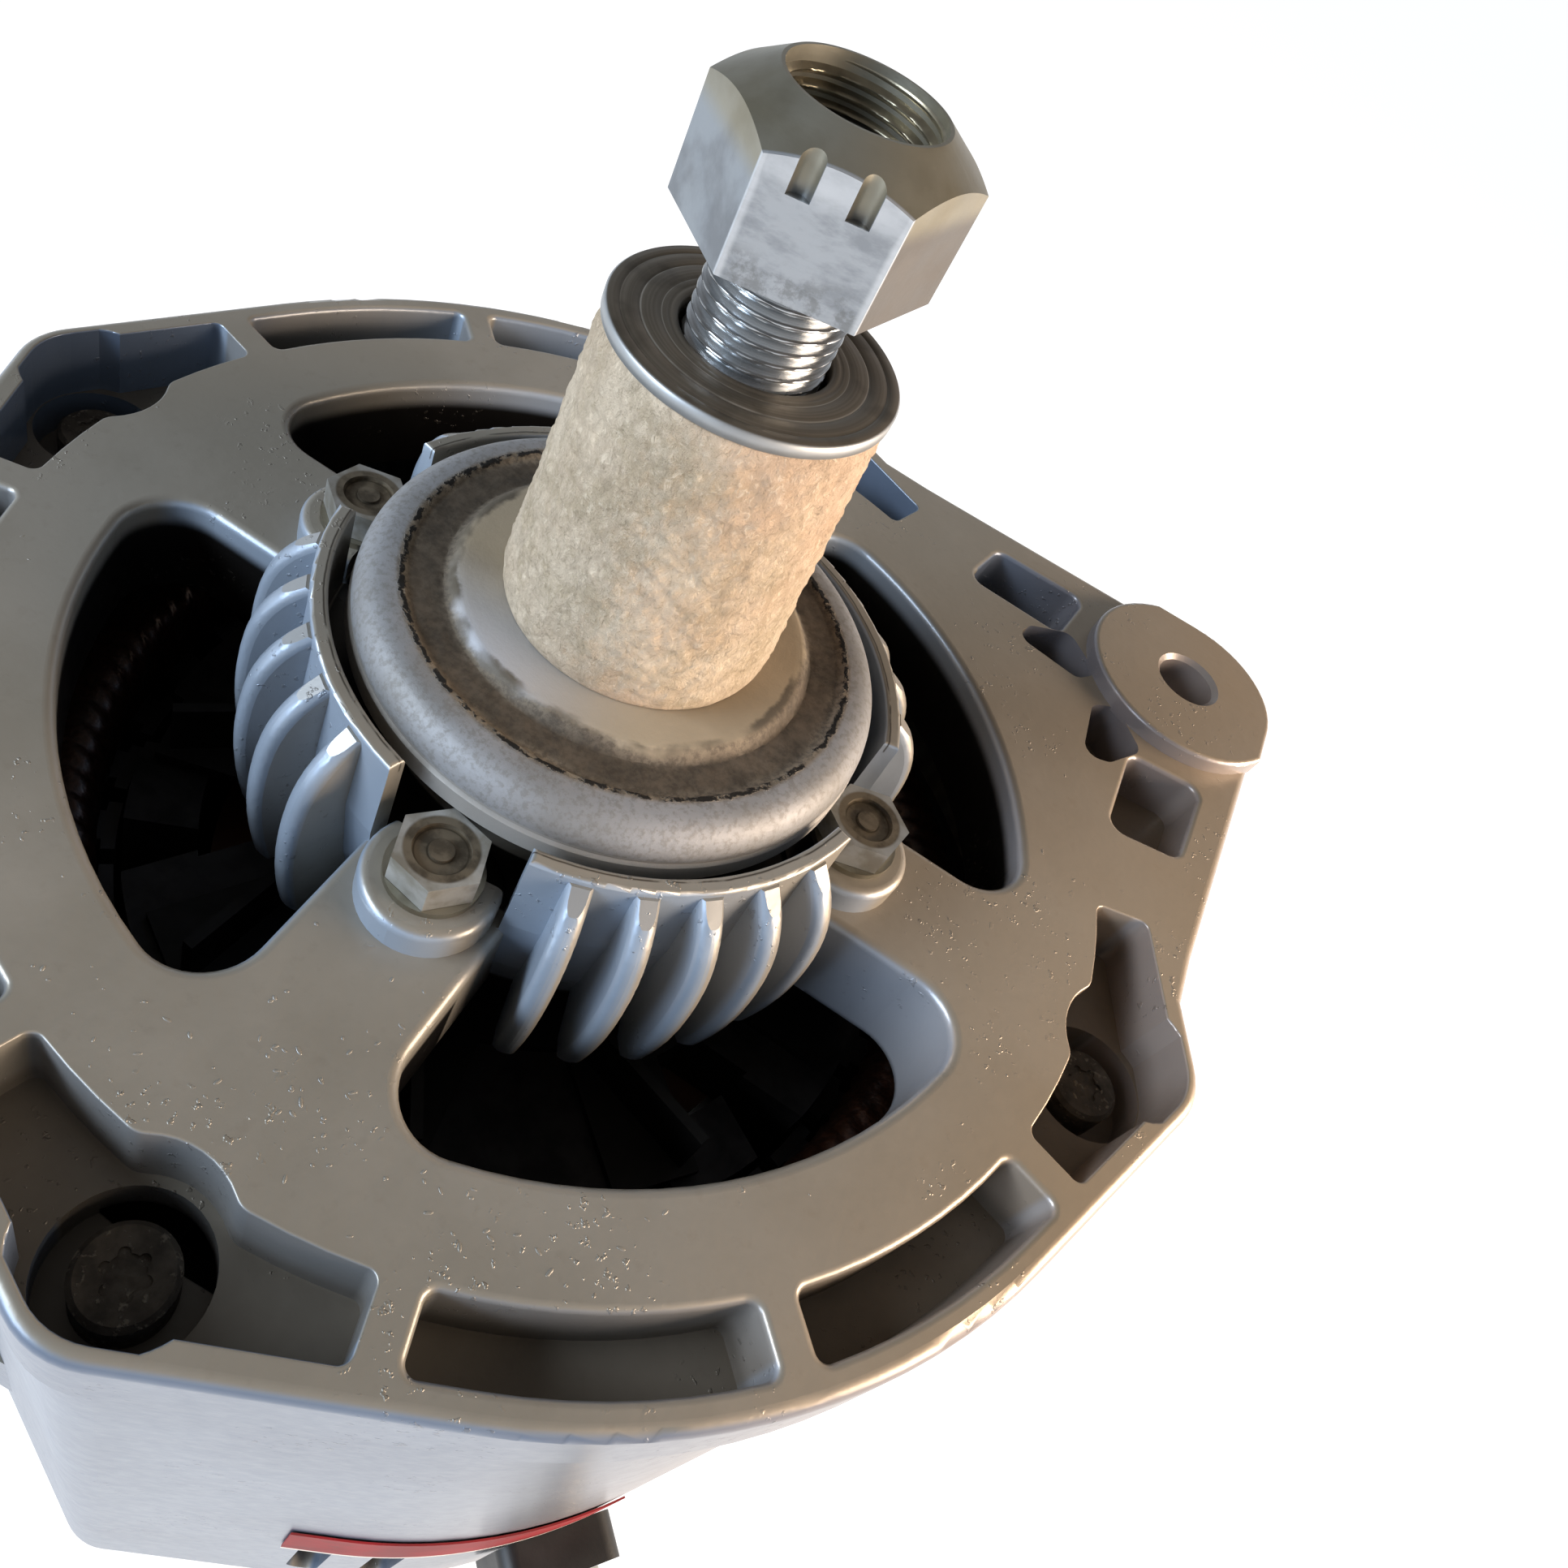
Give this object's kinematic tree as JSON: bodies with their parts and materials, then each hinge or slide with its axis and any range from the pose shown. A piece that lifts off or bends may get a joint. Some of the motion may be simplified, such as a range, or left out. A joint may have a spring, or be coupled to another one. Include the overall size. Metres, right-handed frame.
{
  "type": "heavy-duty alternator",
  "caption": "Cylindrical claw-pole alternator with a windowed front frame, finned bearing hub, mounting ear and a threaded shaft end carrying a cardboard sleeve, washer and nut.",
  "frame": {"origin": "centre of the rear cover's resting face, on the shaft axis", "axes": "+Z along the shaft axis towards the drive end; the four front spokes lie along +X, +Y, -X and -Y, and the mounting ear points to +X+Y"},
  "size_m": [0.194, 0.194, 0.2758],
  "materials": {
    "painted_casting": "semi-gloss silver-grey paint over cast aluminium",
    "painted_cover": "semi-gloss silver-grey paint",
    "zinc_steel": "zinc plated",
    "bearing_steel": "ground",
    "iron": "matt",
    "washer_steel": "turned, browned",
    "slinger_metal": "painted over, dusty",
    "copper": "enamelled",
    "black_plastic": "moulded",
    "bare_aluminium": "as cast",
    "diode_metal": "plated",
    "carbon": "pressed carbon",
    "seal_rubber": "matt",
    "kraft_cardboard": "rolled kraft board, rough",
    "label_film": "printed film, no lettering"
  },
  "bodies": {
    "housing": {"drive_end_frame": "painted_casting", "rear_end_frame": "painted_casting", "rear_cover": "painted_cover", "through_bolts": "zinc_steel", "hub_bolts": "zinc_steel", "hub_bolt_washers": "zinc_steel", "cover_screws": "zinc_steel", "pivot_bushing": "bearing_steel", "bearing_retainer": "bearing_steel", "front_bearing_outer": "bearing_steel", "front_seal": "seal_rubber", "rear_bearing_outer": "bearing_steel", "stator_core": "iron", "stator_windings": "copper", "brush_holder": "black_plastic", "brush_spring_lower": "bearing_steel", "brush_spring_upper": "bearing_steel", "regulator_heat_sink": "bare_aluminium", "regulator_case": "black_plastic", "positive_heat_sink": "bare_aluminium", "negative_heat_sink": "bare_aluminium", "positive_diodes": "diode_metal", "negative_diodes": "diode_metal", "capacitor": "bare_aluminium", "terminal_insulator": "black_plastic", "output_stud": "zinc_steel", "output_nut": "zinc_steel", "output_washer": "zinc_steel", "output_busbar": "copper", "signal_connector": "black_plastic", "side_label": "label_film"},
    "rotor": {"rotor_shaft": "bearing_steel", "rotor_core": "iron", "front_claw_pole": "iron", "rear_claw_pole": "iron", "field_bobbin": "black_plastic", "field_coil": "copper", "front_fan": "bearing_steel", "rear_fan": "bearing_steel", "front_spacer": "bearing_steel", "slip_rings": "copper", "slip_ring_insulator": "black_plastic", "slinger": "slinger_metal", "front_bearing_inner": "bearing_steel", "rear_bearing_inner": "bearing_steel"},
    "front_ball_set": {"front_bearing_balls": "bearing_steel", "front_bearing_cage": "bearing_steel"},
    "rear_ball_set": {"rear_bearing_balls": "bearing_steel", "rear_bearing_cage": "bearing_steel"},
    "brush_lower": {"brush_lower": "carbon"},
    "brush_upper": {"brush_upper": "carbon"},
    "sleeve_and_washer": {"cardboard_sleeve": "kraft_cardboard", "shaft_washer": "washer_steel"},
    "shaft_nut": {"shaft_nut": "zinc_steel"}
  },
  "joints": [
    {"name": "rotor_spin", "type": "hinge", "parent": "housing", "child": "rotor", "pos_m": [0, 0, 0.19], "axis": [0, 0, 1], "continuous": true},
    {"name": "front_ball_set_spin", "type": "hinge", "parent": "housing", "child": "front_ball_set", "pos_m": [0, 0, 0.1795], "axis": [0, 0, 1], "continuous": true},
    {"name": "rear_ball_set_spin", "type": "hinge", "parent": "housing", "child": "rear_ball_set", "pos_m": [0, 0, 0.048], "axis": [0, 0, 1], "continuous": true},
    {"name": "brush_lower_slide", "type": "slide", "parent": "housing", "child": "brush_lower", "axis": [1, 0, 0], "range_m": [0, 0.006], "stiffness_N_per_m": 250, "springref_m": -0.012, "deforming": ["brush_spring_lower"]},
    {"name": "brush_upper_slide", "type": "slide", "parent": "housing", "child": "brush_upper", "axis": [1, 0, 0], "range_m": [0, 0.006], "stiffness_N_per_m": 250, "springref_m": -0.012, "deforming": ["brush_spring_upper"]},
    {"name": "sleeve_lift", "type": "slide", "parent": "rotor", "child": "sleeve_and_washer", "axis": [0, 0, 1], "range_m": [0, 0.0104]},
    {"name": "nut_unscrew", "type": "slide", "parent": "rotor", "child": "shaft_nut", "axis": [0, 0, 1], "range_m": [0, 0.012]}
  ],
  "couplings": [
    {"joint": "front_ball_set_spin", "follows": "rotor_spin", "ratio": 0.369},
    {"joint": "rear_ball_set_spin", "follows": "rotor_spin", "ratio": 0.3825}
  ]
}
